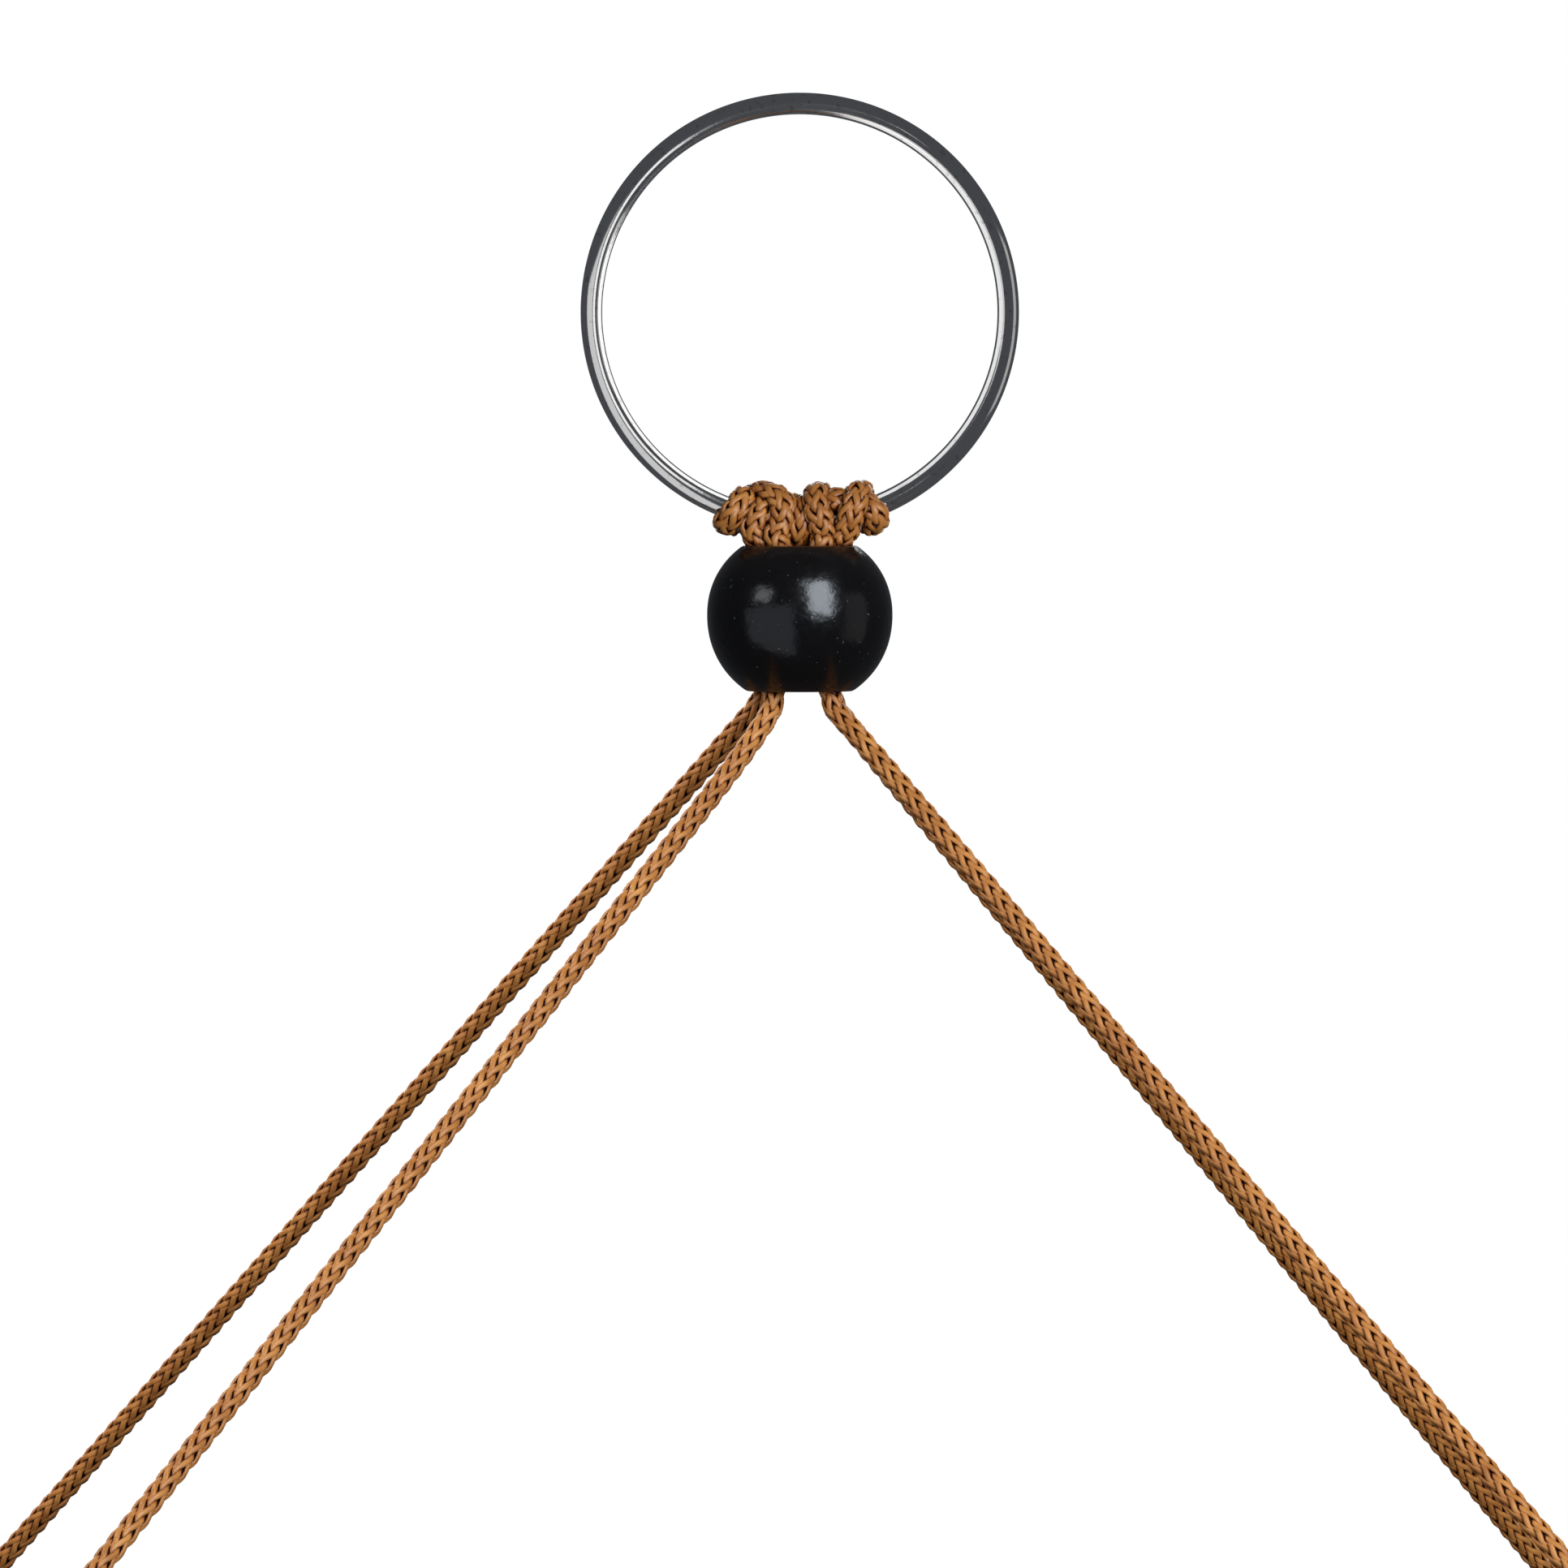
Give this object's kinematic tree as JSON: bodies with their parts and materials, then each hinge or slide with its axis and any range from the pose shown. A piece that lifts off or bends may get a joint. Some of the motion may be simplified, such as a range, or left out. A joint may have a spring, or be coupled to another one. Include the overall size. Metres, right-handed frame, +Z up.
{
  "type": "macrame planter hanger",
  "caption": "Macrame planter hanger: wire ring, two cords hitched onto it, a lacquered wooden bead over the strands, and splayed legs ending in knots for the pot.",
  "frame": {"origin": "the hanging point: where the hook bears on the inside top of the ring", "axes": "+Z up through the ring's centre and the bead's axis, +X along the ring's plane to the right as seen from the front, -Y towards the front"},
  "size_m": [0.2306, 0.2268, 0.1975],
  "materials": {
    "ring_steel": "polished plated wire",
    "bead_lacquer": "gloss black lacquer over wood",
    "cord": "satin knitted cord, golden brown"
  },
  "bodies": {
    "ring": {"ring": "ring_steel"},
    "hitches": {"left_hitch": "cord", "right_hitch": "cord"},
    "neck": {"neck_strand_fl": "cord", "neck_strand_fr": "cord", "neck_strand_bl": "cord", "neck_strand_br": "cord"},
    "bead": {"bead": "bead_lacquer"},
    "leg_fl": {"leg_cord_fl": "cord", "end_knot_fl": "cord"},
    "leg_fr": {"leg_cord_fr": "cord", "end_knot_fr": "cord"},
    "leg_bl": {"leg_cord_bl": "cord", "end_knot_bl": "cord"},
    "leg_br": {"leg_cord_br": "cord", "end_knot_br": "cord"}
  },
  "joints": [
    {"name": "hitch_slide", "type": "hinge", "parent": "ring", "child": "hitches", "pos_m": [0, 0, -0.0225], "axis": [0, 1, 0], "range_deg": [-60, 60]},
    {"name": "hanger_swing", "type": "hinge", "parent": "hitches", "child": "neck", "pos_m": [0, 0, -0.04625], "axis": [1, 0, 0], "range_deg": [-50, 50]},
    {"name": "bead_turn", "type": "hinge", "parent": "neck", "child": "bead", "pos_m": [0, 0, -0.0574], "axis": [0, 0, 1], "continuous": true},
    {"name": "leg_fold_fl", "type": "hinge", "parent": "neck", "child": "leg_fl", "pos_m": [-0.0027, -0.0026, -0.0668], "axis": [-0.7314, 0.682, 0], "range_deg": [-45, 25]},
    {"name": "leg_fold_fr", "type": "hinge", "parent": "neck", "child": "leg_fr", "pos_m": [0.0031, -0.0026, -0.0668], "axis": [-0.682, -0.7314, 0], "range_deg": [-45, 25]},
    {"name": "leg_fold_bl", "type": "hinge", "parent": "neck", "child": "leg_bl", "pos_m": [-0.0042, 0.0022, -0.0668], "axis": [0.682, 0.7314, 0], "range_deg": [-45, 25]},
    {"name": "leg_fold_br", "type": "hinge", "parent": "neck", "child": "leg_br", "pos_m": [0.0034, 0.0025, -0.0668], "axis": [0.7314, -0.682, 0], "range_deg": [-45, 25]}
  ]
}
